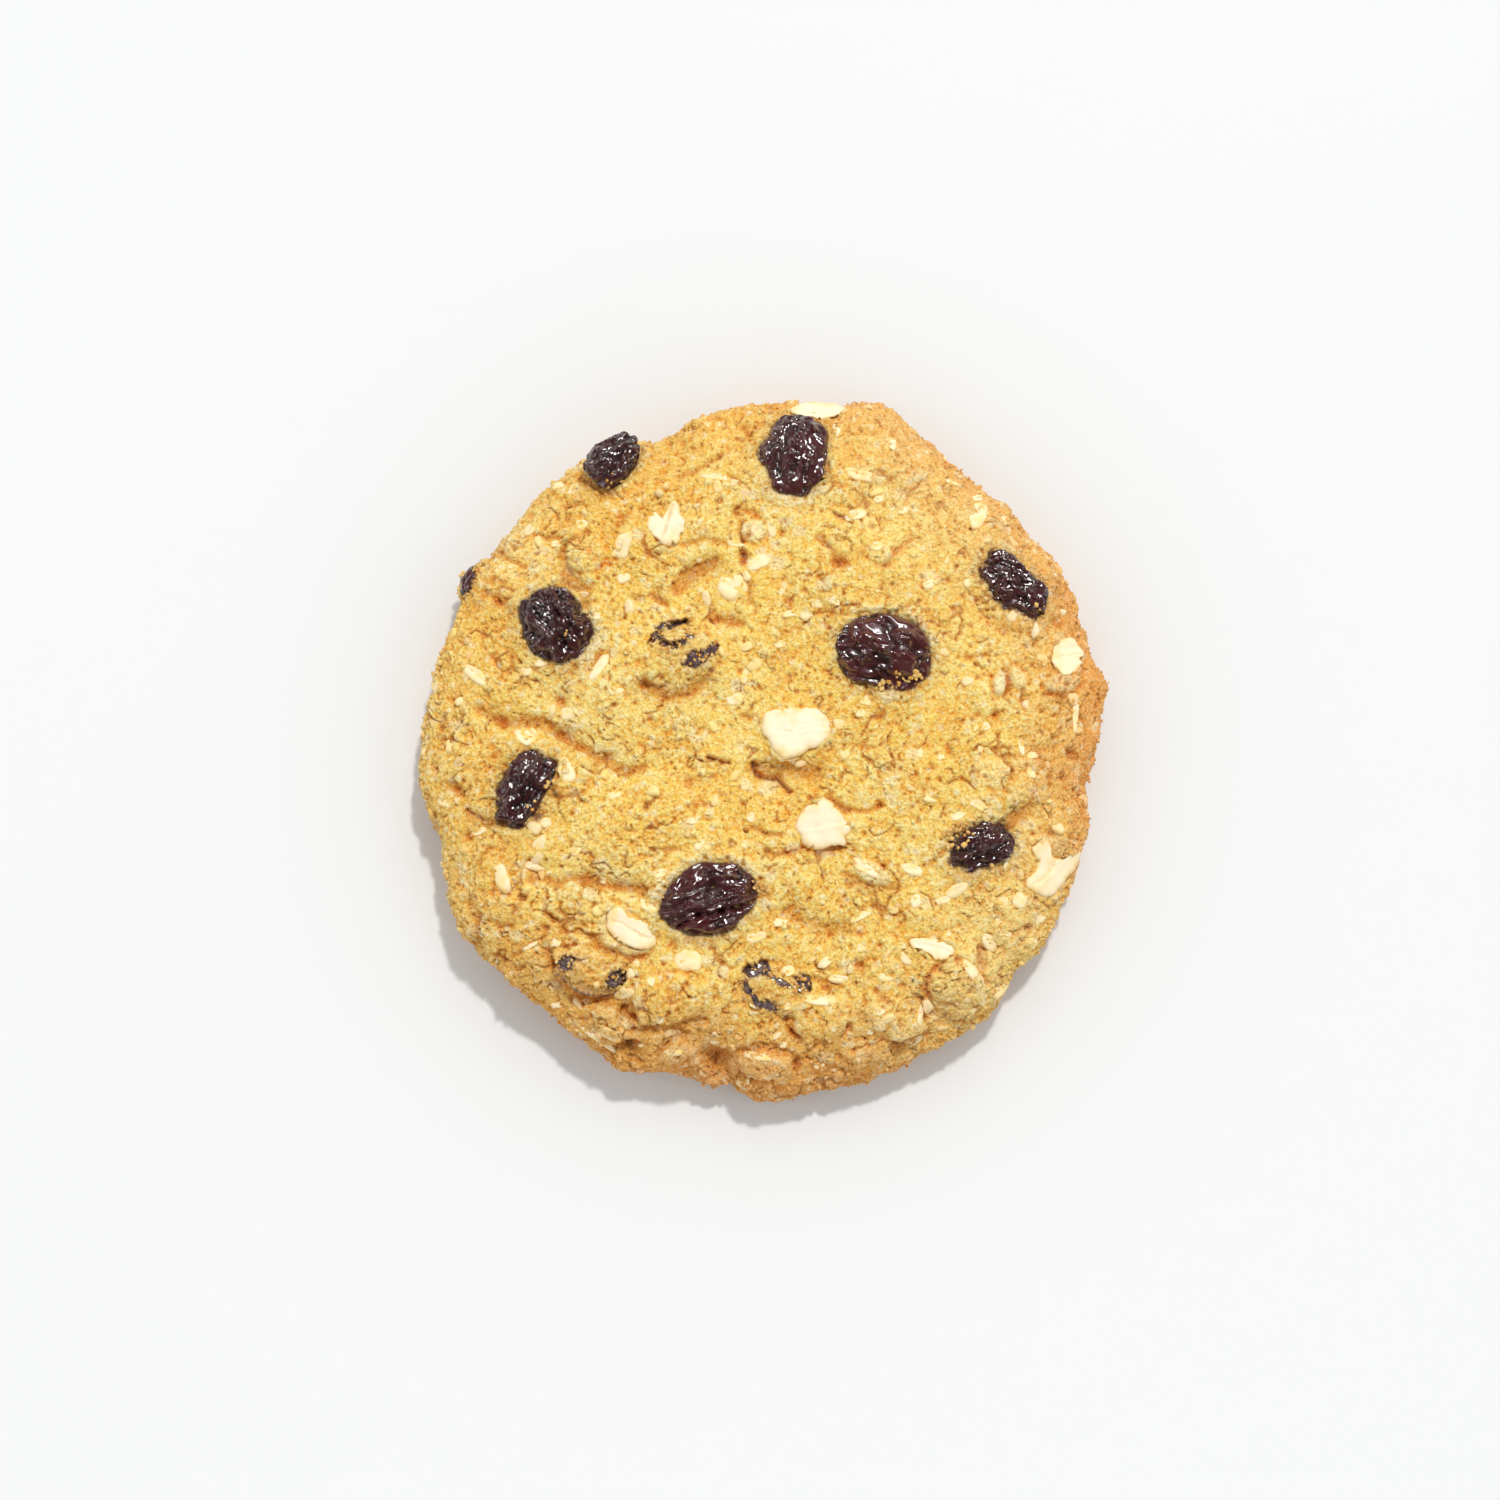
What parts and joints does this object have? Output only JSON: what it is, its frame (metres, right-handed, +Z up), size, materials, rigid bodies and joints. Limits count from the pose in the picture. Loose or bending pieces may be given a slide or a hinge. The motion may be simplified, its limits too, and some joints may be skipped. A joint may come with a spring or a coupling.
{
  "type": "oatmeal raisin cookie",
  "caption": "Round drop-baked oat biscuit with a lumpy domed top, a flat underside, embedded raisins and pale rolled-oat flakes.",
  "frame": {"origin": "middle of the cookie's footprint, in the plane of its flat underside", "axes": "+Z up, out of the crown; +Y towards the rim beside which the upright raisin and the pale edge flake lie; +X to the right as seen from above"},
  "size_m": [0.0858, 0.0878, 0.017],
  "materials": {
    "baked_dough": "matt, dry, granular golden-tan crumb, browner at the rim and underside",
    "raisin_skin": "wrinkled glossy dark purple-brown skin",
    "rolled_oat": "matt cream flake with fine long grain and a central crease"
  },
  "bodies": {
    "root": {"dough": "baked_dough", "raisin_01": "raisin_skin", "raisin_02": "raisin_skin", "raisin_03": "raisin_skin", "raisin_04": "raisin_skin", "raisin_05": "raisin_skin", "raisin_06": "raisin_skin", "raisin_07": "raisin_skin", "raisin_08": "raisin_skin", "raisin_09": "raisin_skin", "raisin_10": "raisin_skin", "raisin_11": "raisin_skin", "raisin_12": "raisin_skin", "oat_flake_01": "rolled_oat", "oat_flake_02": "rolled_oat", "oat_flake_03": "rolled_oat", "oat_flake_04": "rolled_oat", "oat_flake_05": "rolled_oat", "oat_flake_06": "rolled_oat", "oat_flake_07": "rolled_oat", "oat_flake_08": "rolled_oat"}
  },
  "joints": []
}
